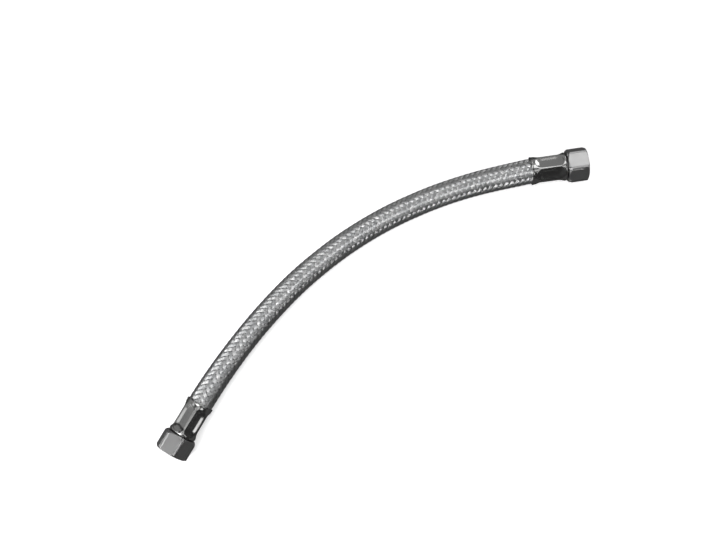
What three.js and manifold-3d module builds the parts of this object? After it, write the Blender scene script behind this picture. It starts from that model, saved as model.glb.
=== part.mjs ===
// Braided connector hose for a cistern: a rubber water hose in a woven steel sleeve. Each end has a crimped
// ferrule, a barbed tailpiece, a sealing washer and a loose union nut.
//
// Millimetres, +Z up. The hose lies on a flat surface at z = 0, the way it comes to rest: each nut stands on
// one of its flats, and the belly of the hose touches the surface between them. X runs from end A to end B,
// and the arc bulges to +Y.

import * as THREE from 'three';
import { mergeVertices } from 'three/addons/utils/BufferGeometryUtils.js';
import Module from 'manifold-3d';

const wasm = await Module();
wasm.setup();

// The hose and its sleeve, diameters and walls
const hoseBore = 10;
const hoseOutside = 13.2;
const braidWall = 0.7;
const layerGap = 0.3;
const braidOutside = hoseOutside + 2 * (layerGap + braidWall);
const hoseSides = 12;
const hoseSteps = 34;
const braidSteps = 30;

// Union nut: a 19 mm spanner size with an internal 3/8 inch pipe thread, shown at its crest diameter
const nutAcrossFlats = 19;
const nutLength = 12.2;
const nutFrontChamfer = THREE.MathUtils.degToRad(30);
const nutRearChamfer = THREE.MathUtils.degToRad(45);
const nutRearChamferWidth = 0.3;
const nutFrontChamferWidth = 0.15;
const threadCrest = 14.95;
const threadMouthWidening = 0.9;
const threadRelief = 16.9;
const threadReliefLength = 1.4;
const nutShoulder = 2.2;

// Play of the loose nut, and of the washer that it carries
const nutForwardPlay = 1.0;
const nutRearGap = 0.6;
const washerPlay = 1.0;

// Sealing washer
const washerThickness = 2;
const washerBore = 10.2;
const washerClearance = 0.3;

// Tailpiece: sealing flange, neck, groove for the ferrule's lip, collar and barbed stem
const tailBore = 7.5;
const flangeThickness = 1.5;
const flangeClearance = 0.35;
const neckDiameter = 12;
const neckClearance = 0.35;
const grooveDepth = 0.8;
const collarDiameter = 12.4;
const collarLength = 1.2;
const barbCount = 5;
const barbPitch = 3;
const barbDepth = 0.5;
const barbFace = 0.2;
const stemTip = 1.2;

// Ferrule: a drawn steel cup that narrows a little to its mouth, pressed onto the hose in six flats
const ferruleLength = 21.3;
const ferruleWall = 0.45;
const ferruleTaper = 0.3;
const ferruleLip = 0.8;
const ferruleShoulderRound = 1.1;
const rimWall = 0.65;
const rimLength = 0.9;
const rimEdge = 0.3;
const mouthDepth = 2.2;
const mouthClearance = 0.4;
const pressedClearance = 0.4;
const crimpFlats = 6;
const crimpWall = 0.6;
const crimpLength = 10.4;
const crimpEndRun = 3.8;
const crimpFromNut = 1.3;
const dimpleLength = 10.4;
const dimpleWidth = 2.8;
const dimpleSlope = 2.0;
const dimpleDepth = 0.3;

// Gap between fixed pieces that touch on the real hose
const fitGap = 0.3;

// Sides of every turned surface, and how far a cutting shape stands proud of what it cuts
const roundSides = 36;
const cutMargin = 0.5;

// Steps of a jaw's end arcs and of a tooth mark's round ends, and how close points are joined into one
const jawArcSteps = 5;
const dimpleArcSteps = 6;
const joinDistance = 1e-4;

// Points at which the centreline's length is measured
const lengthSteps = 800;

// Where the ends lie: the middle of each nut's front face, and how far each end turns in from the chord
const endPlaceA = [-154.5, -6.65];
const endPlaceB = [154.09, -7.23];
const endTurnA = THREE.MathUtils.degToRad(25.3);
const endTurnB = THREE.MathUtils.degToRad(28.2);
const crimpTurnA = THREE.MathUtils.degToRad(14);
const crimpTurnB = THREE.MathUtils.degToRad(-15);

// Route of the hose between the two ferrules, seen from above
const route = [
  [-109.7, 14.0], [-95.7, 19.5], [-81.7, 24.4], [-67.7, 28.7], [-53.7, 32.3], [-39.7, 35.3],
  [-26.7, 37.3], [-12.7, 38.6], [0.3, 39.2], [13.3, 39.0], [27.3, 38.0], [40.3, 36.3],
  [54.3, 33.6], [68.3, 30.2], [82.3, 25.9], [96.3, 20.8], [110.3, 14.9],
];

// Radii and places along an end, measured from the nut's front face into the hose
const nutCornerRadius = nutAcrossFlats / 2 / Math.cos(Math.PI / 6);
const neckRadius = neckDiameter / 2;
const neckHoleRadius = neckRadius + neckClearance;
const ferruleStart = nutLength + nutRearGap;
const ferruleMouth = ferruleStart + ferruleLength;
const grooveRadius = neckRadius - grooveDepth;
const lipRadius = grooveRadius + fitGap;
const collarStart = ferruleStart + ferruleLip + fitGap;
const hoseStart = collarStart + collarLength + fitGap;
const braidStart = ferruleMouth - mouthDepth + fitGap;
const shoulderFace = nutLength - nutShoulder;
const flangeBack = shoulderFace - nutForwardPlay;
const flangeFront = flangeBack - flangeThickness;
const washerBack = flangeFront - washerPlay;
const washerFront = washerBack - washerThickness;
const pressedRadius = hoseOutside / 2 + pressedClearance;
const crimpRadius = pressedRadius + crimpWall;
const mouthRadius = braidOutside / 2 + mouthClearance;
const ferruleMouthRadius = mouthRadius + ferruleWall;
const ferruleRadius = ferruleMouthRadius + ferruleTaper;
const rimRadius = mouthRadius + rimWall;

// A closed outline of [along, radius] points, turned about the Z axis. It runs out along the outside and
// back along the inside.
function turned(outline) {
  const points = [...outline, outline[0]].map(([along, radius]) => new THREE.Vector2(radius, along));
  const geometry = new THREE.LatheGeometry(points, roundSides);
  return geometry.rotateX(Math.PI / 2);
}

// A closed mesh as a solid that can be joined and cut
function solid(geometry) {
  const bare = geometry.clone();
  bare.deleteAttribute('normal');
  bare.deleteAttribute('uv');
  const merged = mergeVertices(bare, joinDistance);
  const mesh = new wasm.Mesh({
    numProp: 3,
    vertProperties: new Float32Array(merged.attributes.position.array),
    triVerts: new Uint32Array(merged.index.array),
  });
  return new wasm.Manifold(mesh);
}

// The surface of a solid as a three.js geometry
function surface(body) {
  const mesh = body.getMesh();
  const geometry = new THREE.BufferGeometry();
  geometry.setAttribute('position', new THREE.BufferAttribute(mesh.vertProperties, 3));
  geometry.setIndex(new THREE.BufferAttribute(mesh.triVerts, 1));
  geometry.computeVertexNormals();
  return geometry;
}

function polygon(sides, radius, Type = THREE.Shape) {
  const outline = new Type();
  for (let corner = 0; corner < sides; corner += 1) {
    const angle = (2 * Math.PI * corner) / sides;
    const point = [radius * Math.cos(angle), radius * Math.sin(angle)];
    if (corner === 0) outline.moveTo(...point);
    else outline.lineTo(...point);
  }
  outline.closePath();
  return outline;
}

// Union nut: a hexagon with coned corners, a tapped bore, a relief behind the thread and a rear shoulder
function nutGeometry() {
  const reach = nutCornerRadius + cutMargin;
  const frontSlope = Math.tan(nutFrontChamfer);
  const rearSlope = Math.tan(nutRearChamfer);
  const rearFace = nutAcrossFlats / 2 - nutRearChamferWidth;
  const frontFace = nutAcrossFlats / 2 - nutFrontChamferWidth;
  const crest = threadCrest / 2;
  const relief = threadRelief / 2;
  const reliefStart = shoulderFace - threadReliefLength;
  const bored = turned([
    [0, frontFace],
    [(reach - frontFace) * frontSlope, reach],
    [nutLength - (reach - rearFace) * rearSlope, reach],
    [nutLength, rearFace],
    [nutLength, neckHoleRadius],
    [shoulderFace, neckHoleRadius],
    [shoulderFace, relief],
    [reliefStart, relief],
    [reliefStart - (relief - crest), crest],
    [threadMouthWidening, crest],
    [0, crest + threadMouthWidening],
  ]);
  const bar = new THREE.ExtrudeGeometry(polygon(6, nutCornerRadius), { depth: nutLength, bevelEnabled: false });
  return surface(solid(bar).intersect(solid(bored)));
}

// Sealing washer: a flat ring that the nut's thread holds
function washerGeometry() {
  const outside = threadCrest / 2 - washerClearance;
  return turned([
    [washerFront, outside],
    [washerBack, outside],
    [washerBack, washerBore / 2],
    [washerFront, washerBore / 2],
  ]);
}

// Tailpiece: what the water runs through, from the sealing flange to the end of the barbed stem
function tailpieceGeometry() {
  const bore = tailBore / 2;
  const flange = threadCrest / 2 - flangeClearance;
  const barbRadius = hoseBore / 2 - fitGap;
  const stemRadius = barbRadius - barbDepth;
  const outline = [
    [flangeFront, flange],
    [flangeBack, flange],
    [flangeBack, neckRadius],
    [ferruleStart - fitGap, neckRadius],
    [ferruleStart - fitGap, grooveRadius],
    [collarStart, grooveRadius],
    [collarStart, collarDiameter / 2],
    [collarStart + collarLength, collarDiameter / 2],
  ];
  const firstBarb = collarStart + collarLength + stemTip;
  outline.push([collarStart + collarLength, stemRadius]);
  for (let barb = 0; barb < barbCount; barb += 1) {
    const start = firstBarb + barb * barbPitch;
    outline.push([start, stemRadius], [start, barbRadius], [start + barbFace, barbRadius]);
  }
  const stemEnd = firstBarb + barbCount * barbPitch;
  outline.push([stemEnd, stemRadius], [stemEnd, bore], [flangeFront, bore]);
  return turned(outline);
}

// One jaw's flat: its section along the hose is a straight run with an arc rising at each end
function jawCut() {
  const top = ferruleRadius + cutMargin;
  const rise = ferruleRadius - crimpRadius;
  const endRadius = (crimpEndRun ** 2 + rise ** 2) / (2 * rise);
  const sweep = Math.acos(1 - (top - crimpRadius) / endRadius);
  const middle = crimpMiddle();
  const section = new THREE.Shape();
  const down = -Math.PI / 2;
  section.absarc(middle - crimpLength / 2, crimpRadius + endRadius, endRadius, down - sweep, down);
  section.absarc(middle + crimpLength / 2, crimpRadius + endRadius, endRadius, down, down + sweep);
  const width = 2 * ferruleRadius;
  const cut = new THREE.ExtrudeGeometry(section, { depth: width, bevelEnabled: false, curveSegments: jawArcSteps });
  cut.translate(0, 0, -width / 2);
  return cut.applyMatrix4(new THREE.Matrix4().makeBasis(
    new THREE.Vector3(0, 0, 1),
    new THREE.Vector3(0, 1, 0),
    new THREE.Vector3(-1, 0, 0),
  ));
}

// The tooth mark in the middle of a jaw's flat: a round-ended pocket with sloping walls
function dimpleCut() {
  const half = dimpleWidth / 2;
  const straight = (dimpleLength - dimpleWidth) / 2;
  const outline = new THREE.Shape();
  outline.absarc(straight, 0, half, -Math.PI / 2, Math.PI / 2);
  outline.absarc(-straight, 0, half, Math.PI / 2, (3 * Math.PI) / 2);
  const cut = new THREE.ExtrudeGeometry(outline, {
    depth: ferruleRadius - crimpRadius,
    bevelThickness: dimpleDepth,
    bevelSize: dimpleSlope,
    bevelSegments: 1,
    curveSegments: dimpleArcSteps,
  });
  cut.translate(crimpMiddle(), 0, crimpRadius);
  return cut.applyMatrix4(new THREE.Matrix4().makeBasis(
    new THREE.Vector3(0, 0, 1),
    new THREE.Vector3(1, 0, 0),
    new THREE.Vector3(0, 1, 0),
  ));
}

function crimpMiddle() {
  return ferruleStart + crimpFromNut + crimpEndRun + crimpLength / 2;
}

// Ferrule: a cup with an inturned lip at the nut, six pressed flats and a flared rim at the braid
function ferruleGeometry() {
  const round = ferruleShoulderRound;
  const corner = Math.SQRT1_2 * round;
  let cup = solid(turned([
    [ferruleStart, lipRadius],
    [ferruleStart, ferruleRadius - round],
    [ferruleStart + round - corner, ferruleRadius - round + corner],
    [ferruleStart + round, ferruleRadius],
    [ferruleMouth - rimLength, ferruleMouthRadius],
    [ferruleMouth - rimEdge, rimRadius],
    [ferruleMouth, rimRadius - rimEdge],
    [ferruleMouth, mouthRadius],
    [ferruleMouth - mouthDepth, mouthRadius],
    [ferruleMouth - mouthDepth, pressedRadius],
    [ferruleStart + ferruleLip, pressedRadius],
    [ferruleStart + ferruleLip, lipRadius],
  ]));
  const jaw = solid(jawCut()).add(solid(dimpleCut()));
  for (let flat = 0; flat < crimpFlats; flat += 1) {
    cup = cup.subtract(jaw.rotate([0, 0, (360 / crimpFlats) * (flat + 0.5)]));
  }
  return surface(cup);
}

// Materials, coloured as the real ones are
const stainless = new THREE.MeshStandardMaterial({ color: 0xb9babb, roughness: 0.22, metalness: 1 });
const nickel = new THREE.MeshStandardMaterial({ color: 0xa9a8a5, roughness: 0.35, metalness: 1 });
const woven = new THREE.MeshStandardMaterial({ color: 0xc4c5c6, roughness: 0.4, metalness: 0.9 });
const rubber = new THREE.MeshStandardMaterial({ color: 0x1c1c1d, roughness: 0.75, metalness: 0 });

function piece(name, geometry, material) {
  const mesh = new THREE.Mesh(geometry, material);
  mesh.name = name;
  return mesh;
}

// An end fitting: its own +Z runs from the nut's front face into the hose, and its own +Y is up at rest
function endFitting(end, tip, along, crimpTurn) {
  const fitting = new THREE.Group();
  const ferrule = piece(`ferrule_${end}`, ferruleGeometry(), stainless);
  ferrule.rotation.z = crimpTurn;
  fitting.add(
    piece(`swivel_nut_${end}`, nutGeometry(), nickel),
    piece(`sealing_washer_${end}`, washerGeometry(), rubber),
    piece(`tailpiece_${end}`, tailpieceGeometry(), nickel),
    ferrule,
  );
  const up = new THREE.Vector3(0, 0, 1);
  const side = new THREE.Vector3().crossVectors(up, along);
  fitting.quaternion.setFromRotationMatrix(new THREE.Matrix4().makeBasis(side, up, along));
  fitting.position.copy(tip);
  return fitting;
}

const axisHeight = nutAcrossFlats / 2;
const tipA = new THREE.Vector3(...endPlaceA, axisHeight);
const tipB = new THREE.Vector3(...endPlaceB, axisHeight);
const alongA = new THREE.Vector3(Math.cos(endTurnA), Math.sin(endTurnA), 0);
const alongB = new THREE.Vector3(-Math.cos(endTurnB), Math.sin(endTurnB), 0);

// The hose drops from the nuts' axis until its belly touches the surface halfway along
function routeHeight(x) {
  const [tip, along] = x < 0 ? [tipA, alongA] : [tipB, alongB];
  const out = Math.min(x / (tip.x + ferruleMouth * along.x), 1);
  return braidOutside / 2 + (axisHeight - braidOutside / 2) * out * out * (3 - 2 * out);
}

// Centreline of the hose, straight inside each ferrule
function hoseLine() {
  const held = 4;
  const inFerrule = (tip, along) => Array.from({ length: held + 1 }, (_, step) => (
    tip.clone().addScaledVector(along, hoseStart + ((ferruleMouth - hoseStart) * step) / held)));
  const free = route.map(([x, y]) => new THREE.Vector3(x, y, routeHeight(x)));
  const line = new THREE.CatmullRomCurve3([
    ...inFerrule(tipA, alongA), ...free, ...inFerrule(tipB, alongB).reverse(),
  ]);
  line.arcLengthDivisions = lengthSteps;
  return line;
}

// A stretch of a longer line, trimmed by the same length at both ends
class Stretch extends THREE.Curve {
  constructor(line, trim) {
    super();
    this.line = line;
    this.share = trim / line.getLength();
  }

  getPoint(t, target = new THREE.Vector3()) {
    return this.line.getPointAt(this.share + (1 - 2 * this.share) * t, target);
  }
}

// A tube of many-sided section along a line, with the flats of its bore at the bore's radius
function tube(line, outside, inside, steps) {
  const section = polygon(hoseSides, outside / 2);
  section.holes.push(polygon(hoseSides, inside / 2, THREE.Path));
  return new THREE.ExtrudeGeometry(section, { steps, bevelEnabled: false, extrudePath: line });
}

const line = hoseLine();
const boreCorners = hoseBore / Math.cos(Math.PI / hoseSides);
const braidLine = new Stretch(line, braidStart - hoseStart);

const hose = new THREE.Group();
hose.add(
  piece('inner_hose', tube(line, hoseOutside, boreCorners, hoseSteps), rubber),
  piece('braid_sleeve', tube(braidLine, braidOutside, braidOutside - 2 * braidWall, braidSteps), woven),
  endFitting('a', tipA, alongA, crimpTurnA),
  endFitting('b', tipB, alongB, crimpTurnB),
);

export default hose;
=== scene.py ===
"""A braided connector hose lying on a pale table: woven wire sleeve, crimped ferrules, loose union nuts."""
import math

import bpy
import numpy as np
from mathutils import Matrix, Vector


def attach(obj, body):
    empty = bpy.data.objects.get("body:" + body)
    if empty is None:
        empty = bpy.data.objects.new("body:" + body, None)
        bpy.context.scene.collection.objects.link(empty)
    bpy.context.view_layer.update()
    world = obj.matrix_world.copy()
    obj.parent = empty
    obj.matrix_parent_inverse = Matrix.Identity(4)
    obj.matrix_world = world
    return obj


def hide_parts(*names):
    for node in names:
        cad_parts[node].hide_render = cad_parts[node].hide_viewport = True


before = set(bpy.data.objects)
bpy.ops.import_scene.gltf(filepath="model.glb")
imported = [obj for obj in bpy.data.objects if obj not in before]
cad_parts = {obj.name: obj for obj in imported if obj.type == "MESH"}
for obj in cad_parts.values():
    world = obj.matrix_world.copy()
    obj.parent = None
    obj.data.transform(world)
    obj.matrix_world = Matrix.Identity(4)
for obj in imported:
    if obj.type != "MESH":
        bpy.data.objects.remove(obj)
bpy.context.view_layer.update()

MM = 0.001
ENDS = {"a": -1, "b": 1}

# Where the ends lie, in millimetres: the middle of each nut's front face, and how far each end turns in
AXIS_HEIGHT = 9.5
TIPS = {"a": (-154.5, -6.65), "b": (154.09, -7.23)}
END_TURNS = {"a": math.radians(25.3), "b": math.radians(28.2)}

# Places along an end, in millimetres from the nut's front face
NUT_LENGTH = 12.2
NUT_SHOULDER_FACE = 10.0
FLANGE_BACK = 9.0
FLANGE_FRONT = 7.5
WASHER_BACK = 6.5
WASHER_FRONT = 4.5
FERRULE_START = 12.8
COLLAR_START = 13.9
HOSE_START = 15.4
FERRULE_MOUTH = 34.1
BRAID_START = 32.2

# Route of the hose between the two ferrules, seen from above, in metres
ROUTE = [
    (-0.1097, 0.0140), (-0.0957, 0.0195), (-0.0817, 0.0244), (-0.0677, 0.0287), (-0.0537, 0.0323),
    (-0.0397, 0.0353), (-0.0267, 0.0373), (-0.0127, 0.0386), (0.0003, 0.0392), (0.0133, 0.0390),
    (0.0273, 0.0380), (0.0403, 0.0363), (0.0543, 0.0336), (0.0683, 0.0302), (0.0823, 0.0259),
    (0.0963, 0.0208), (0.1103, 0.0149),
]
BRAID_DIAMETER = 0.0152


def add(tree, kind, inputs=None, **settings):
    """Adds a node with its settings. An input is a value, or another node's socket to link."""
    made = tree.nodes.new(kind)
    for name, value in settings.items():
        setattr(made, name, value)
    for key, value in (inputs or {}).items():
        if isinstance(value, bpy.types.NodeSocket):
            tree.links.new(value, made.inputs[key])
        else:
            made.inputs[key].default_value = value
    return made


def linear(hex_colour):
    """An sRGB hex colour as the linear RGBA that shaders take."""
    parts = [int(hex_colour[i:i + 2], 16) / 255 for i in (1, 3, 5)]
    return [p / 12.92 if p <= 0.04045 else ((p + 0.055) / 1.055) ** 2.4 for p in parts] + [1.0]


# Camera: half a metre above the hose, leaning towards the inside of the arc
CAMERA_EYE = (-0.02083, -0.10266, 0.49491)
CAMERA_TARGET = (-0.00354, 0.01598, 0.0095)
CAMERA_UP = (0.571483, 0.792224, 0.213982)
CAMERA_LENS = 41.2
SENSOR_WIDTH = 36


def make_camera():
    data = bpy.data.cameras.new("camera")
    data.lens = CAMERA_LENS
    data.sensor_width = SENSOR_WIDTH
    camera = bpy.data.objects.new("camera", data)
    eye = Vector(CAMERA_EYE)
    back = (eye - Vector(CAMERA_TARGET)).normalized()
    right = Vector(CAMERA_UP).cross(back).normalized()
    turn = Matrix((right, back.cross(right), back)).transposed()
    camera.matrix_world = Matrix.Translation(eye) @ turn.to_4x4()
    bpy.context.scene.collection.objects.link(camera)
    bpy.context.scene.camera = camera


make_camera()


# The hose's centreline
def end_matrix(end):
    """From a fitting's own axes to the row frame: its z runs from the nut's front face into the hose."""
    turn = END_TURNS[end]
    along = Vector((-ENDS[end] * math.cos(turn), math.sin(turn), 0))
    up = Vector((0, 0, 1))
    tip = Vector((*TIPS[end], AXIS_HEIGHT)) * MM
    return Matrix.Translation(tip) @ Matrix((up.cross(along), up, along)).transposed().to_4x4()


def in_ferrule(end, places):
    """Points on an end's axis, at places in millimetres from the nut's front face."""
    matrix = end_matrix(end)
    return [matrix @ Vector((0, 0, place * MM)) for place in places]


def route_height(x):
    """The hose drops from the nuts' axis until its belly touches the table halfway along."""
    mouth = in_ferrule("a" if x < 0 else "b", [FERRULE_MOUTH])[0]
    out = min(x / mouth.x, 1)
    belly = BRAID_DIAMETER / 2
    return belly + (AXIS_HEIGHT * MM - belly) * out * out * (3 - 2 * out)


def mixed(first, second, start, stop, at):
    """The point that lies between two others as a value lies between start and stop."""
    return (first * (stop - at) + second * (at - start)) / (stop - start)


def through(points, spacing):
    """A smooth line through the points, which passes no corner wide, with points about that far apart."""
    p = [np.array(q, float) for q in points]
    p = [2 * p[0] - p[1], *p, 2 * p[-1] - p[-2]]
    line = []
    for a, b, c, d in zip(p, p[1:], p[2:], p[3:]):
        knots = np.cumsum([0] + [np.linalg.norm(v - u) ** 0.5 for u, v in ((a, b), (b, c), (c, d))])
        steps = max(1, round(np.linalg.norm(c - b) / spacing))
        for t in np.linspace(knots[1], knots[2], steps, endpoint=False):
            first = mixed(a, b, knots[0], knots[1], t)
            second = mixed(b, c, knots[1], knots[2], t)
            third = mixed(c, d, knots[2], knots[3], t)
            early = mixed(first, second, knots[0], knots[2], t)
            late = mixed(second, third, knots[1], knots[3], t)
            line.append(mixed(early, late, knots[1], knots[2], t))
    return np.array([*line, p[-2]])


def centreline(start, spacing=0.002):
    """The line from a place in ferrule A to the same place in ferrule B."""
    places = np.linspace(start, FERRULE_MOUTH, 4)
    free = [(x, y, route_height(x)) for x, y in ROUTE]
    return through([*in_ferrule("a", places), *free, *in_ferrule("b", places[::-1])], spacing)


def line_length(line):
    return float(np.linalg.norm(np.diff(line, axis=0), axis=1).sum())


# Materials
def bare_material(name):
    """A material whose tree is still empty, and that tree."""
    material = bpy.data.materials.new(name)
    material.use_nodes = True
    material.node_tree.nodes.clear()
    return material, material.node_tree


def new_material(name, inputs):
    """A material with one principled shader. Returns the material, its tree and the shader."""
    material, tree = bare_material(name)
    shader = add(tree, "ShaderNodeBsdfPrincipled", inputs)
    add(tree, "ShaderNodeOutputMaterial", {"Surface": shader.outputs["BSDF"]})
    return material, tree, shader


def dull_patches(tree, shader, to_the_metre, detail, smoothest, roughest):
    """Lets the roughness wander between two values, in soft patches, so many to the metre."""
    place = add(tree, "ShaderNodeTexCoord")
    cloud = add(tree, "ShaderNodeTexNoise", {
        "Vector": place.outputs["Object"], "Scale": to_the_metre, "Detail": detail,
    })
    rough = add(tree, "ShaderNodeMapRange", {
        "Value": cloud.outputs[0], "To Min": smoothest, "To Max": roughest,
    })
    tree.links.new(rough.outputs[0], shader.inputs["Roughness"])


def braid_wire():
    """Bright drawn stainless wire, woven: each bundle has its own tone, with duller patches of 2.5 mm."""
    material, tree, shader = new_material("stainless wire braid", {"Metallic": 1.0, "Roughness": 0.3})
    tone = add(tree, "ShaderNodeAttribute", attribute_name="tone")
    colour = add(tree, "ShaderNodeMix", {
        "Factor": tone.outputs["Fac"], 6: linear("#d6d7d8"), 7: linear("#ececec"),
    }, data_type="RGBA")
    tree.links.new(colour.outputs[2], shader.inputs["Base Color"])
    dull_patches(tree, shader, 400.0, 3.0, 0.28, 0.46)
    return material


def pressed_stainless():
    """Deep-drawn stainless steel, polished and then crimped: near mirror, hazed in patches of 3 mm."""
    material, tree, shader = new_material("polished stainless", {
        "Metallic": 1.0, "Base Color": linear("#c9c9c8"), "Roughness": 0.14,
    })
    dull_patches(tree, shader, 350.0, 4.0, 0.12, 0.26)
    return material


def satin_nickel():
    """Nickel-plated brass, tumbled before plating: a soft sheen, duller in patches of 4 mm."""
    material, tree, shader = new_material("satin nickel", {
        "Metallic": 1.0, "Base Color": linear("#cacaca"), "Roughness": 0.3,
    })
    dull_patches(tree, shader, 260.0, 5.0, 0.3, 0.44)
    return material


def matt_rubber(name, colour):
    """Matt and nearly black, with a grain of 0.4 mm."""
    material, tree, shader = new_material(name, {"Base Color": linear(colour), "Roughness": 0.7})
    place = add(tree, "ShaderNodeTexCoord")
    grain = add(tree, "ShaderNodeTexNoise", {"Vector": place.outputs["Object"], "Scale": 2500.0})
    bump = add(tree, "ShaderNodeBump", {"Height": grain.outputs[0], "Distance": 0.02 * MM, "Strength": 0.4})
    tree.links.new(bump.outputs[0], shader.inputs["Normal"])
    return material


WIRE_FINISH = braid_wire()
STAINLESS = pressed_stainless()
NICKEL = satin_nickel()
RUBBER = matt_rubber("moulded rubber", "#1b1b1c")
WASHER_RUBBER = matt_rubber("washer rubber", "#151515")


# Mesh tools
def mesh_object(name, points, faces, material):
    mesh = bpy.data.meshes.new(name)
    mesh.from_pydata(points, [], faces)
    mesh.materials.append(material)
    mesh.shade_smooth()
    made = bpy.data.objects.new(name, mesh)
    bpy.context.scene.collection.objects.link(made)
    return made


def grid_faces(rows, columns):
    """Quads of a grid that closes on itself both ways, with rows of points that each run round the axis."""
    row, column = np.meshgrid(np.arange(rows), np.arange(columns), indexing="ij")
    below, after = (row + 1) % rows, (column + 1) % columns
    near, far = row * columns, below * columns
    return np.stack([near + column, near + after, far + after, far + column], axis=-1).reshape(-1, 4).tolist()


def eased(corners, steps=4):
    """Stations along a turned outline whose corners are rounded. A corner is (along, radius, round), and any
    of its numbers may be an array over the angles round the axis. A round of 0 keeps one point."""
    count = max(np.size(value) for corner in corners for value in corner)
    points = [np.stack([np.broadcast_to(along, count), np.broadcast_to(radius, count)], axis=-1).astype(float)
              for along, radius, _ in corners]
    stations = []
    for i, (point, (_, _, ease)) in enumerate(zip(points, corners)):
        if np.max(ease) == 0:
            stations.append(point)
            continue
        before, after = points[i - 1] - point, points[(i + 1) % len(points)] - point
        back = before / np.maximum(np.linalg.norm(before, axis=-1, keepdims=True), 1e-9) * ease
        on = after / np.maximum(np.linalg.norm(after, axis=-1, keepdims=True), 1e-9) * ease
        stations.append(point + back * 1.3)
        for t in np.linspace(0, 1, steps + 1):
            stations.append(point + back * (1 - t) ** 2 + on * t ** 2)
        stations.append(point + on * 1.3)
    stations = np.array(stations)
    return stations[..., 0], stations[..., 1]


def turned(name, stations, angles, end, material):
    """A closed body round an end's axis, from its stations' places and radii in millimetres."""
    along, radius = (np.broadcast_to(values, (len(values), len(angles))) for values in stations)
    local = np.stack([radius * np.cos(angles), radius * np.sin(angles), along], axis=-1).reshape(-1, 3) * MM
    matrix = np.array(end_matrix(end))
    points = local @ matrix[:3, :3].T + matrix[:3, 3]
    return mesh_object(name, points.tolist(), grid_faces(*along.shape), material)


def even(count):
    return np.linspace(0, 2 * math.pi, count, endpoint=False)


# Union nut: sizes in millimetres, and each chamfer as how far it runs along the nut for its depth
ACROSS_FLATS = 19.0
HEX_CORNER_ROUND = 1.0
FRONT_CHAMFER = math.tan(math.radians(30))
REAR_CHAMFER = math.tan(math.radians(45))
FRONT_FACE = 9.35
REAR_FACE = 9.2
THREAD_CREST = 7.475
THREAD_DEPTH = 0.856
THREAD_PITCH = 1.337
THREAD_MOUTH = 0.9
THREAD_FADE = 0.6
THREAD_ROWS = 60
THREAD_RELIEF = 8.45
RELIEF_LENGTH = 1.4
NECK_HOLE = 6.35


HEX_INNER = (ACROSS_FLATS / 2 - HEX_CORNER_ROUND) / math.cos(math.pi / 6)
HEX_REACH = math.atan2(HEX_CORNER_ROUND / 2, HEX_INNER + HEX_CORNER_ROUND * math.cos(math.pi / 6))


def hexagon_angles():
    """Angles round a hexagon, close together where its corners are rounded."""
    near = HEX_REACH * np.array([-1.5, -1, -0.66, -0.33, 0, 0.33, 0.66, 1, 1.5])
    across = np.radians(np.arange(4, 58, 3.25))
    return np.concatenate([corner * math.pi / 3 + np.concatenate([near, across]) for corner in range(6)])


def hexagon_radius(angles):
    """Radius of a hexagon with rounded corners, one of them at angle 0."""
    from_corner = (angles + math.pi / 6) % (math.pi / 3) - math.pi / 6
    flat = ACROSS_FLATS / 2 / np.cos(math.pi / 6 - np.abs(from_corner))
    under = np.maximum(HEX_CORNER_ROUND ** 2 - (HEX_INNER * np.sin(from_corner)) ** 2, 0)
    arc = HEX_INNER * np.cos(from_corner) + np.sqrt(under)
    return np.where(np.abs(from_corner) < HEX_REACH, arc, flat)


def thread_stations(angles, start, stop):
    """The tapped bore between two places, as a right-hand thread that fades out at both ends."""
    along = np.linspace(start, stop, THREAD_ROWS)[:, None] + 0 * angles
    phase = along / THREAD_PITCH - angles / (2 * math.pi)
    ends = np.clip(np.minimum(abs(along - start), abs(along - stop)) / (THREAD_FADE * THREAD_PITCH), 0, 1)
    return along, THREAD_CREST + THREAD_DEPTH * ends * (0.5 - 0.5 * np.cos(2 * math.pi * phase))


def make_nut(end):
    angles = hexagon_angles()
    outside = hexagon_radius(angles)
    relief_start = NUT_SHOULDER_FACE - RELIEF_LENGTH
    thread_end = relief_start - (THREAD_RELIEF - THREAD_CREST)
    outer = eased([
        (0, THREAD_CREST + THREAD_MOUTH, 0.1),
        (0, FRONT_FACE, 0.08),
        ((outside - FRONT_FACE) * FRONT_CHAMFER, outside, 0.1),
        (NUT_LENGTH - (outside - REAR_FACE) * REAR_CHAMFER, outside, 0.15),
        (NUT_LENGTH, REAR_FACE, 0.15),
        (NUT_LENGTH, NECK_HOLE, 0.15),
        (NUT_SHOULDER_FACE, NECK_HOLE, 0.1),
        (NUT_SHOULDER_FACE, THREAD_RELIEF, 0),
        (relief_start, THREAD_RELIEF, 0),
        (thread_end, THREAD_CREST, 0),
        (THREAD_MOUTH, THREAD_CREST, 0),
    ])
    thread = thread_stations(angles, thread_end, THREAD_MOUTH)
    stations = [np.concatenate([whole[:-1], tapped[1:]]) for whole, tapped in zip(outer, thread)]
    return turned(f"union_nut_{end}", stations, angles, end, NICKEL)


# Sealing washer
def make_washer(end):
    outside, bore, ease = 7.175, 5.1, 0.25
    stations = eased([
        (WASHER_FRONT, outside, ease), (WASHER_BACK, outside, ease),
        (WASHER_BACK, bore, ease), (WASHER_FRONT, bore, ease),
    ])
    return turned(f"washer_{end}", stations, even(96), end, WASHER_RUBBER)


# Tailpiece
COLLAR_LENGTH = 1.2
FIRST_BARB = COLLAR_START + 2.4
BARBS = 5
BARB_PITCH = 3
BARB_TOP = 0.2


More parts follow.
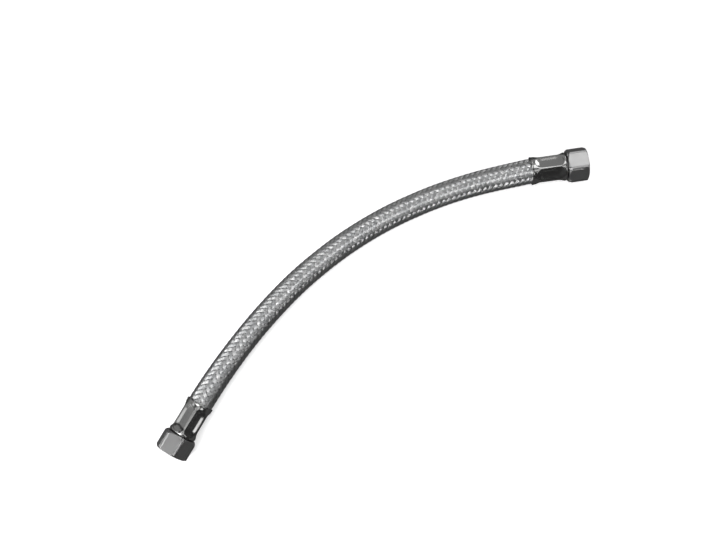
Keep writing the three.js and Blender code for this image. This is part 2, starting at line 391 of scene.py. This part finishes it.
def make_tailpiece(end):
    bore, flange, neck, groove, collar, barb, stem = 3.75, 7.125, 6.0, 5.2, 6.2, 4.7, 4.2
    corners = [
        (FLANGE_FRONT, flange, 0.2), (FLANGE_BACK, flange, 0.2), (FLANGE_BACK, neck, 0),
        (FERRULE_START - 0.3, neck, 0.1), (FERRULE_START - 0.3, groove, 0), (COLLAR_START, groove, 0),
        (COLLAR_START, collar, 0.1), (COLLAR_START + COLLAR_LENGTH, collar, 0.1),
        (COLLAR_START + COLLAR_LENGTH, stem, 0),
    ]
    for step in range(BARBS):
        start = FIRST_BARB + BARB_PITCH * step
        corners += [(start, stem, 0), (start, barb, 0.05), (start + BARB_TOP, barb, 0.05)]
    stem_end = FIRST_BARB + BARB_PITCH * BARBS
    corners += [(stem_end, stem, 0.1), (stem_end, bore, 0.1), (FLANGE_FRONT, bore, 0.3)]
    return turned(f"barbed_tail_{end}", eased(corners), even(96), end, NICKEL)


# Ferrule
FERRULE_RADIUS = 8.75
FERRULE_TAPER = 0.3
SHOULDER_LENGTH = 1.3
SHOULDER_ROUND = 0.95
END_WALL = 0.8
RIM_LENGTH = 1.1
RIM_BAND = 0.6
RIM_RADIUS = 8.65
MOUTH_RADIUS = 8.0
MOUTH_DEPTH = 2.2
PRESSED_RADIUS = 7.0
LIP_RADIUS = 5.5
CRIMP_RADIUS = 7.6
CRIMP_LENGTH = 10.4
CRIMP_END_RUN = 3.8
CRIMP_MIDDLE = FERRULE_START + SHOULDER_LENGTH + CRIMP_END_RUN + CRIMP_LENGTH / 2
CRIMP_TURN = {"a": math.radians(90 + 14), "b": math.radians(90 - 15)}
RIDGE_SOFTNESS = 0.1
DIMPLE_LENGTH = 10.4
DIMPLE_WIDTH = 2.8
DIMPLE_SLOPE = 2.0
DIMPLE_DEPTH = 0.3
DIMPLE_WALL = 0.35


def jaw_distance(along):
    """How far a jaw's flat lies from the axis: level over the crimp, rising in an arc at both ends."""
    rise = FERRULE_RADIUS - CRIMP_RADIUS
    arc = (CRIMP_END_RUN ** 2 + rise ** 2) / (2 * rise)
    past = np.clip(np.abs(along - CRIMP_MIDDLE) - CRIMP_LENGTH / 2, 0, arc * 0.99)
    return CRIMP_RADIUS + arc - np.sqrt(arc ** 2 - past ** 2)


def ramp(share, ease=0.2):
    """A straight ramp from 0 to 1 whose two ends are rounded over a share of its length."""
    share = np.clip(share, -ease, 1 + ease)
    low = np.where(share < ease, (share + ease) ** 2 / (4 * ease), share)
    return np.where(share > 1 - ease, 1 - (1 + ease - share) ** 2 / (4 * ease), low)


def crimped_radius(along, angles):
    """Radius of the pressed ferrule: the round cup, six flats and the tooth mark in each."""
    cup = FERRULE_RADIUS - FERRULE_TAPER * (along - FERRULE_START) / (FERRULE_MOUTH - FERRULE_START)
    pressed = np.exp(-(cup + 0 * angles - CRIMP_RADIUS) / RIDGE_SOFTNESS)
    jaw = jaw_distance(along)
    for flat in range(6):
        from_flat = angles - (flat + 0.5) * math.pi / 3
        facing = np.cos(from_flat)
        across = jaw * np.tan(from_flat)
        lengthways = np.maximum(np.abs(along - CRIMP_MIDDLE) - (DIMPLE_LENGTH - DIMPLE_WIDTH) / 2, 0)
        outside = np.hypot(lengthways, across) - DIMPLE_WIDTH / 2
        depth = DIMPLE_DEPTH * (1 - ramp(outside / DIMPLE_SLOPE))
        radius = np.where(facing > 0.5, (jaw - depth) / np.maximum(facing, 0.5), 99)
        pressed += np.exp(-(radius - CRIMP_RADIUS) / RIDGE_SOFTNESS)
    return CRIMP_RADIUS - RIDGE_SOFTNESS * np.log(pressed)


def make_ferrule(end):
    angles = even(300)
    shoulder_end, rim_start = FERRULE_START + SHOULDER_LENGTH, FERRULE_MOUTH - RIM_LENGTH
    body = np.linspace(shoulder_end, rim_start, 120)[:, None]
    outside = crimped_radius(body, angles)
    shoulder = eased([
        (FERRULE_START + END_WALL, LIP_RADIUS, 0),
        (FERRULE_START, LIP_RADIUS, 0.2),
        (FERRULE_START, outside[0], SHOULDER_ROUND),
        (shoulder_end, outside[0], 0),
    ])
    rim = eased([
        (rim_start, outside[-1], 0),
        (FERRULE_MOUTH - RIM_BAND, RIM_RADIUS, 0.15),
        (FERRULE_MOUTH, RIM_RADIUS, 0.2),
        (FERRULE_MOUTH, MOUTH_RADIUS, 0.2),
        (FERRULE_MOUTH - MOUTH_DEPTH, MOUTH_RADIUS, 0),
    ])
    within = body[(body > FERRULE_START + END_WALL) & (body < FERRULE_MOUTH - MOUTH_DEPTH)][::-1, None]
    inside = np.minimum(PRESSED_RADIUS, crimped_radius(within, angles) - DIMPLE_WALL)
    along = np.concatenate([shoulder[0][:-1], body + 0 * outside, rim[0][1:], within + 0 * inside])
    radius = np.concatenate([shoulder[1][:-1], outside, rim[1][1:], inside])
    return turned(f"crimped_ferrule_{end}", (along, radius), angles + CRIMP_TURN[end], end, STAINLESS)


# Rubber hose under the braid
HOSE_RADIUS = 6.6
HOSE_BORE_RADIUS = 5.0


def make_hose():
    line = centreline(HOSE_START)
    sides = even(48)
    ahead = np.gradient(line, axis=0)
    ahead /= np.linalg.norm(ahead, axis=1, keepdims=True)
    side = np.cross([0, 0, 1], ahead)
    side /= np.linalg.norm(side, axis=1, keepdims=True)
    above = np.cross(ahead, side)
    round_it = np.cos(sides)[None, :, None] * side[:, None] + np.sin(sides)[None, :, None] * above[:, None]
    outer = line[:, None] + HOSE_RADIUS * MM * round_it
    inner = (line[:, None] + HOSE_BORE_RADIUS * MM * round_it)[::-1]
    points = np.concatenate([outer, inner]).reshape(-1, 3)
    return mesh_object("rubber_hose", points.tolist(), grid_faces(2 * len(line), len(sides)), RUBBER)


# Braid: twelve bundles of wires each way, each passing over two and under two. Sizes are in millimetres: a
# bundle is a row of wires, bowed by its crown, and winds once round the hose in one lead
STRANDS = 12
LEAD = 40.4
WIRES = 8
WIRE = 0.26
BUNDLE_WIDTH = 2.02
BUNDLE_CROWN = 0.17
STEPS_PER_WAVE = 9
WEAVE_RADIUS = 7.14
WEAVE_RISE = 0.22
SWELL = 0.3
SWELL_FROM = 0.3
FLOAT_STEEPNESS = 0.8
UNEVEN_ANGLE = 0.03


def strand_tree():
    """Builds the tree that winds one direction's bundles round a centreline, over two and under two."""
    tree = bpy.data.node_groups.new("woven bundles", "GeometryNodeTree")
    sockets = [
        ("Centreline", "NodeSocketGeometry"), ("Strands", "NodeSocketInt"), ("Lead", "NodeSocketFloat"),
        ("Turn", "NodeSocketFloat"), ("Radius", "NodeSocketFloat"), ("Rise", "NodeSocketFloat"),
        ("Swell", "NodeSocketFloat"), ("Wires", "NodeSocketInt"), ("Width", "NodeSocketFloat"),
        ("Wire", "NodeSocketFloat"), ("Crown", "NodeSocketFloat"), ("Steps", "NodeSocketInt"),
        ("Seed", "NodeSocketFloat"), ("Material", "NodeSocketMaterial"),
    ]
    for name, kind in sockets:
        tree.interface.new_socket(name=name, in_out="INPUT", socket_type=kind)
    tree.interface.new_socket(name="Geometry", in_out="OUTPUT", socket_type="NodeSocketGeometry")
    given = add(tree, "NodeGroupInput").outputs

    # The centreline as a curve whose normals lie level
    route = add(tree, "GeometryNodeMeshToCurve", {"Mesh": given["Centreline"]})
    level = add(tree, "GeometryNodeSetCurveNormal", {"Curve": route.outputs[0]}, mode="Z_UP")
    length = add(tree, "GeometryNodeCurveLength", {"Curve": level.outputs[0]})

    # One straight line for each bundle, whose points' X says how far along the hose they lie, from 0 to 1
    line = add(tree, "GeometryNodeCurvePrimitiveLine", {"Start": (0, 0, 0), "End": (1, 0, 0)})
    stepped = add(tree, "GeometryNodeResampleCurve", {"Curve": line.outputs[0], "Count": given["Steps"]})
    lines = add(tree, "GeometryNodeDuplicateElements", {
        "Geometry": stepped.outputs[0], "Amount": given["Strands"],
    }, domain="SPLINE")
    number = lines.outputs["Duplicate Index"]
    position = add(tree, "GeometryNodeInputPosition")
    share = add(tree, "ShaderNodeSeparateXYZ", {0: position.outputs[0]}).outputs[0]
    here = add(tree, "GeometryNodeSampleCurve", {
        "Curves": level.outputs[0], "Factor": share,
    }, mode="FACTOR", use_all_curves=True)
    above = add(tree, "ShaderNodeVectorMath", {
        0: here.outputs["Tangent"], 1: here.outputs["Normal"],
    }, operation="CROSS_PRODUCT")

    # Angle round the hose: the bundle's own place, its lead, and a little unevenness
    own = add(tree, "ShaderNodeMath", {0: number, 1: given["Strands"]}, operation="DIVIDE")
    leads = add(tree, "ShaderNodeMath", {0: length.outputs[0], 1: given["Lead"]}, operation="DIVIDE")
    signed = add(tree, "ShaderNodeMath", {0: leads.outputs[0], 1: given["Turn"]}, operation="MULTIPLY")
    turns = add(tree, "ShaderNodeMath", {
        0: share, 1: signed.outputs[0], 2: own.outputs[0],
    }, operation="MULTIPLY_ADD")
    angle = add(tree, "ShaderNodeMath", {0: turns.outputs[0], 1: 2 * math.pi}, operation="MULTIPLY")
    wander_at = add(tree, "ShaderNodeCombineXYZ", {0: share, 1: own.outputs[0], 2: given["Seed"]})
    wander = add(tree, "ShaderNodeTexNoise", {"Vector": wander_at.outputs[0], "Scale": 40.0, "Detail": 1.0})
    uneven = add(tree, "ShaderNodeMapRange", {
        "Value": wander.outputs[0], "To Min": -UNEVEN_ANGLE, "To Max": UNEVEN_ANGLE,
    })
    place = add(tree, "ShaderNodeMath", {0: angle.outputs[0], 1: uneven.outputs[0]}, operation="ADD")

    # Radius: up over two bundles and down under the next two, with rows of floats along the hose
    rows = add(tree, "ShaderNodeMath", {
        0: angle.outputs[0], 1: STRANDS / 2, 2: -math.pi / 4,
    }, operation="MULTIPLY_ADD")
    wave = add(tree, "ShaderNodeMath", {0: rows.outputs[0]}, operation="COSINE")
    over = add(tree, "ShaderNodeMapRange", {
        "Value": wave.outputs[0], "From Min": -FLOAT_STEEPNESS, "From Max": FLOAT_STEEPNESS,
        "To Min": -1.0, "To Max": 1.0,
    }, interpolation_type="SMOOTHSTEP")
    signed_rise = add(tree, "ShaderNodeMath", {0: given["Rise"], 1: given["Turn"]}, operation="MULTIPLY")
    woven = add(tree, "ShaderNodeMath", {
        0: over.outputs[0], 1: signed_rise.outputs[0], 2: given["Radius"],
    }, operation="MULTIPLY_ADD")
    from_middle = add(tree, "ShaderNodeMath", {0: share, 1: 0.5}, operation="SUBTRACT")
    outness = add(tree, "ShaderNodeMath", {0: from_middle.outputs[0]}, operation="ABSOLUTE")
    swollen = add(tree, "ShaderNodeMapRange", {
        "Value": outness.outputs[0], "From Min": SWELL_FROM, "From Max": 0.5, "To Max": given["Swell"],
    }, interpolation_type="SMOOTHSTEP")
    radius = add(tree, "ShaderNodeMath", {0: woven.outputs[0], 1: swollen.outputs[0]}, operation="ADD")

    # Each point's direction out from the centreline, and its place
    cosine = add(tree, "ShaderNodeMath", {0: place.outputs[0]}, operation="COSINE")
    sine = add(tree, "ShaderNodeMath", {0: place.outputs[0]}, operation="SINE")
    sideways = add(tree, "ShaderNodeVectorMath", {
        0: here.outputs["Normal"], "Scale": cosine.outputs[0],
    }, operation="SCALE")
    upward = add(tree, "ShaderNodeVectorMath", {
        0: above.outputs[0], "Scale": sine.outputs[0],
    }, operation="SCALE")
    out = add(tree, "ShaderNodeVectorMath", {0: sideways.outputs[0], 1: upward.outputs[0]}, operation="ADD")
    facing = add(tree, "GeometryNodeSetCurveNormal", {
        "Curve": lines.outputs[0], "Normal": out.outputs[0],
    }, mode="FREE")
    reach = add(tree, "ShaderNodeVectorMath", {
        0: out.outputs[0], "Scale": radius.outputs[0],
    }, operation="SCALE")
    point = add(tree, "ShaderNodeVectorMath", {
        0: reach.outputs[0], 1: here.outputs["Position"],
    }, operation="ADD")
    tone = add(tree, "FunctionNodeRandomValue", {"ID": number, "Seed": 7}, data_type="FLOAT")
    toned = add(tree, "GeometryNodeStoreNamedAttribute", {
        "Geometry": facing.outputs[0], "Name": "tone", "Value": tone.outputs[1],
    }, data_type="FLOAT", domain="POINT")
    wound = add(tree, "GeometryNodeSetPosition", {"Geometry": toned.outputs[0], "Position": point.outputs[0]})

    # Section of a bundle: a flat row of wires, each a ridge between two valleys, closed by one point beneath
    twice = add(tree, "ShaderNodeMath", {0: given["Wires"], 1: 2.0}, operation="MULTIPLY")
    count = add(tree, "ShaderNodeMath", {0: twice.outputs[0], 1: 2.0}, operation="ADD")
    circle = add(tree, "GeometryNodeCurvePrimitiveCircle", {"Resolution": count.outputs[0], "Radius": 1.0})
    index = add(tree, "GeometryNodeInputIndex").outputs[0]
    valley = add(tree, "ShaderNodeMath", {0: index, 1: 2.0}, operation="MODULO")
    last = add(tree, "ShaderNodeMath", {0: index, 1: twice.outputs[0]}, operation="GREATER_THAN")
    across = add(tree, "ShaderNodeMath", {0: index, 1: twice.outputs[0]}, operation="DIVIDE")
    centred = add(tree, "ShaderNodeMath", {0: across.outputs[0], 1: 0.5}, operation="SUBTRACT")
    middled = add(tree, "ShaderNodeMix", {
        "Factor": last.outputs[0], 2: centred.outputs[0], 3: 0.0,
    }, data_type="FLOAT")
    width = add(tree, "ShaderNodeMath", {0: middled.outputs[0], 1: given["Width"]}, operation="MULTIPLY")
    ridge = add(tree, "ShaderNodeMath", {0: valley.outputs[0], 1: 0.5}, operation="MULTIPLY")
    base = add(tree, "ShaderNodeMath", {0: ridge.outputs[0], 1: last.outputs[0]}, operation="SUBTRACT")
    wires = add(tree, "ShaderNodeMath", {0: base.outputs[0], 1: given["Wire"]}, operation="MULTIPLY")
    from_axis = add(tree, "ShaderNodeMath", {0: middled.outputs[0], 1: 2.0}, operation="POWER")
    height = add(tree, "ShaderNodeMath", {
        0: from_axis.outputs[0], 1: given["Crown"], 2: wires.outputs[0],
    }, operation="MULTIPLY_ADD")
    corner = add(tree, "ShaderNodeCombineXYZ", {0: height.outputs[0], 1: width.outputs[0]})
    is_valley = add(tree, "ShaderNodeMath", {0: valley.outputs[0], 1: 0.5}, operation="LESS_THAN")
    section = add(tree, "GeometryNodeSetPosition", {
        "Geometry": circle.outputs[0], "Position": corner.outputs[0],
    })
    marked = add(tree, "GeometryNodeStoreNamedAttribute", {
        "Geometry": section.outputs[0], "Name": "valley", "Value": is_valley.outputs[0],
    }, data_type="BOOLEAN", domain="POINT")

    # Wires drawn along the lines, with a crease between neighbours
    bundles = add(tree, "GeometryNodeCurveToMesh", {
        "Curve": wound.outputs[0], "Profile Curve": marked.outputs[0], "Fill Caps": True,
    })
    creases = add(tree, "GeometryNodeInputNamedAttribute", {"Name": "valley"}, data_type="BOOLEAN")
    creased = add(tree, "GeometryNodeSetShadeSmooth", {
        "Geometry": bundles.outputs[0], "Selection": creases.outputs[0], "Shade Smooth": False,
    }, domain="EDGE")
    real = add(tree, "GeometryNodeRealizeInstances", {"Geometry": creased.outputs[0]})
    finished = add(tree, "GeometryNodeSetMaterial", {
        "Geometry": real.outputs[0], "Material": given["Material"],
    })
    add(tree, "NodeGroupOutput", {"Geometry": finished.outputs[0]})
    return tree


def plain_mesh(made, name):
    """The object's evaluated mesh as a new object of its own, with no modifiers. The old one is removed."""
    evaluated = made.evaluated_get(bpy.context.evaluated_depsgraph_get())
    mesh = bpy.data.meshes.new_from_object(evaluated)
    bpy.data.objects.remove(made)
    mesh.name = name
    result = bpy.data.objects.new(name, mesh)
    bpy.context.scene.collection.objects.link(result)
    return result


def make_strands(name, tree, line, turn, seed):
    """Every bundle that winds one way round the hose."""
    guide = bpy.data.meshes.new("centreline")
    guide.from_pydata(line.tolist(), [(i, i + 1) for i in range(len(line) - 1)], [])
    made = bpy.data.objects.new("centreline", guide)
    bpy.context.scene.collection.objects.link(made)
    modifier = made.modifiers.new("weave", "NODES")
    modifier.node_group = tree
    identifiers = {item.name: item.identifier for item in tree.interface.items_tree if item.in_out == "INPUT"}
    waves = line_length(line) / (LEAD * MM) * STRANDS / 2
    values = {
        "Strands": STRANDS, "Lead": LEAD * MM, "Turn": float(turn), "Radius": WEAVE_RADIUS * MM,
        "Rise": WEAVE_RISE * MM, "Swell": SWELL * MM, "Wires": WIRES, "Width": BUNDLE_WIDTH * MM,
        "Wire": WIRE * MM, "Crown": -4 * BUNDLE_CROWN * MM, "Steps": round(waves * STEPS_PER_WAVE),
        "Seed": float(seed), "Material": WIRE_FINISH,
    }
    for label, value in values.items():
        modifier[identifiers[label]] = value
    return plain_mesh(made, name)


# The pieces, each on its body
hose = make_hose()
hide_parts("inner_hose")
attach(hose, "hose")

braid_line = centreline(BRAID_START)
weave = strand_tree()
right_hand = make_strands("braid_right_hand", weave, braid_line, 1, 3)
left_hand = make_strands("braid_left_hand", weave, braid_line, -1, 5)
for strands in (right_hand, left_hand):
    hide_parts("braid_sleeve")
    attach(strands, "hose")

for end in ENDS:
    for make, node, slot, body in (
        (make_nut, "swivel_nut", "nickel_plated_brass", "nut"),
        (make_washer, "sealing_washer", "washer_rubber", "washer"),
        (make_tailpiece, "tailpiece", "nickel_plated_brass", None),
        (make_ferrule, "ferrule", "stainless_ferrule", None),
    ):
        piece = make(end)
        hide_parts(f"{node}_{end}")
        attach(piece, f"{body}_{end}" if body else "hose")


# Studio
FLOOR_DROP = 0.0002
FLOOR_HALF = 4
CARD_DROP = 0.0001
CARD_HALF = 2
TENT_GLOW = 0.03
TENT_RADIUS = 3.0


def level_square(name, half, drop, material):
    """A square on the ground, centred on the hose."""
    corners = [(-half, -half, -drop), (half, -half, -drop), (half, half, -drop), (-half, half, -drop)]
    return mesh_object(name, corners, [(0, 1, 2, 3)], material)


def make_floor():
    """A pale table. Lit as a plain surface, and shown a little brighter to the eye and in reflections. Far
    from the hose, where the lamps don't reach, it fades to white."""
    material, tree = bare_material("pale table")
    plain = add(tree, "ShaderNodeBsdfDiffuse", {"Color": linear("#f6f6f6")})
    glow = add(tree, "ShaderNodeEmission", {"Color": linear("#ffffff"), "Strength": 0.55})
    near = add(tree, "ShaderNodeAddShader", {0: plain.outputs[0], 1: glow.outputs[0]})
    place = add(tree, "ShaderNodeTexCoord")
    distance = add(tree, "ShaderNodeVectorMath", {0: place.outputs["Object"]}, operation="LENGTH")
    far_share = add(tree, "ShaderNodeMapRange", {
        "Value": distance.outputs["Value"], "From Min": 0.6, "From Max": 1.4,
    })
    far = add(tree, "ShaderNodeEmission", {"Color": linear("#ffffff"), "Strength": 1.0})
    lifted = add(tree, "ShaderNodeMixShader", {
        0: far_share.outputs[0], 1: near.outputs[0], 2: far.outputs[0],
    })
    ray = add(tree, "ShaderNodeLightPath")
    seen = add(tree, "ShaderNodeMath", {
        0: ray.outputs["Is Camera Ray"], 1: ray.outputs["Is Glossy Ray"],
    }, operation="MAXIMUM")
    seen_or_through = add(tree, "ShaderNodeMath", {
        0: seen.outputs[0], 1: ray.outputs["Is Transmission Ray"],
    }, operation="MAXIMUM")
    shown = add(tree, "ShaderNodeMixShader", {
        0: seen_or_through.outputs[0], 1: plain.outputs[0], 2: lifted.outputs[0],
    })
    add(tree, "ShaderNodeOutputMaterial", {"Surface": shown.outputs[0]})
    level_square("floor", FLOOR_HALF, FLOOR_DROP, material)


def make_card():
    """A dark grey sheet under the hose that only reflections see: painted shade in reflections, which darkens
    the metal's lower edges.
    """
    material, tree = bare_material("painted reflected shade")
    shade_sheet = add(tree, "ShaderNodeBsdfDiffuse", {"Color": linear("#505050")})
    add(tree, "ShaderNodeOutputMaterial", {"Surface": shade_sheet.outputs[0]})
    card = level_square("reflected_shade_card", CARD_HALF, CARD_DROP, material)
    card.visible_camera = card.visible_diffuse = card.visible_shadow = False


def make_tent():
    """A dim dome round the table, which only reflections and dull surfaces see."""
    material, tree = bare_material("grey tent cloth")
    glow = add(tree, "ShaderNodeEmission", {"Strength": TENT_GLOW})
    add(tree, "ShaderNodeOutputMaterial", {"Surface": glow.outputs[0]})
    rings, sides = 12, 48
    lift = np.linspace(0, math.pi / 2, rings + 1)[:-1, None]
    turn = even(sides)[None, :]
    across, height = np.cos(lift), np.sin(lift)
    points = np.stack([across * np.cos(turn), across * np.sin(turn), height + 0 * turn], axis=-1)
    points = [*(TENT_RADIUS * points.reshape(-1, 3)).tolist(), (0, 0, TENT_RADIUS)]
    last = (rings - 1) * sides
    faces = grid_faces(rings, sides)[:last]
    faces += [(last + i, last + (i + 1) % sides, rings * sides) for i in range(sides)]
    tent = mesh_object("tent", points, faces, material)
    tent.visible_camera = False


def make_world():
    world = bpy.data.worlds.new("studio")
    bpy.context.scene.world = world
    world.use_nodes = True
    tree = world.node_tree
    tree.nodes.clear()
    white = add(tree, "ShaderNodeBackground", {"Color": linear("#ffffff"), "Strength": 1.0})
    add(tree, "ShaderNodeOutputWorld", {"Surface": white.outputs[0]})


# Soft round lamps: height above the table and place round it in degrees, half angle, and radiance
LAMPS = {
    "left_low": (20, 176, 10, 6.5),
    "left_side": (36, 188, 9, 6.5),
    "left_key": (51, 203, 10, 7.0),
    "left_high": (70, 215, 10, 1.5),
    "right_key": (30, 343, 6, 5.0),
    "right_low": (14, 14, 10, 2.4),
    "right_high": (66, 20, 14, 1.6),
    "front_high": (68, 283, 9, 0.8),
    "front_low": (40, 285, 9, 1.5),
    "back_high": (57, 136, 9, 1.0),
    "back_left": (20, 141, 26, 0.26),
    "back_right": (30, 51, 38, 0.23),
}
LAMP_DISTANCE = 1.5
FILL_POWER = 7.8
FILL_SIZE = 1.2
FILL_HEIGHT = 1.5


def make_lamp(name, lift, turn, half_angle, radiance):
    """A disc that faces the hose. A disc's radiance is its power over pi times its area."""
    lift, turn = math.radians(lift), math.radians(turn)
    radius = LAMP_DISTANCE * math.tan(math.radians(half_angle))
    data = bpy.data.lights.new(name, "AREA")
    data.shape = "DISK"
    data.size = 2 * radius
    data.energy = radiance * math.pi * (math.pi * radius ** 2)
    lamp = bpy.data.objects.new(name, data)
    away = Vector((math.cos(lift) * math.cos(turn), math.cos(lift) * math.sin(turn), math.sin(lift)))
    facing = away.to_track_quat("Z", "Y").to_matrix().to_4x4()
    lamp.matrix_world = Matrix.Translation(away * LAMP_DISTANCE) @ facing
    lamp.visible_camera = False
    bpy.context.scene.collection.objects.link(lamp)


def make_fill():
    """A soft lamp overhead that brings dull surfaces to a plain level and leaves reflections alone."""
    data = bpy.data.lights.new("fill", "AREA")
    data.shape = "DISK"
    data.size = FILL_SIZE
    data.energy = FILL_POWER
    lamp = bpy.data.objects.new("fill", data)
    lamp.location = (0, 0, FILL_HEIGHT)
    lamp.visible_camera = lamp.visible_glossy = False
    bpy.context.scene.collection.objects.link(lamp)


make_floor()
make_card()
make_tent()
make_world()
make_fill()
for lamp_name, setting in LAMPS.items():
    make_lamp(lamp_name, *setting)

bpy.context.scene.view_settings.view_transform = "Standard"
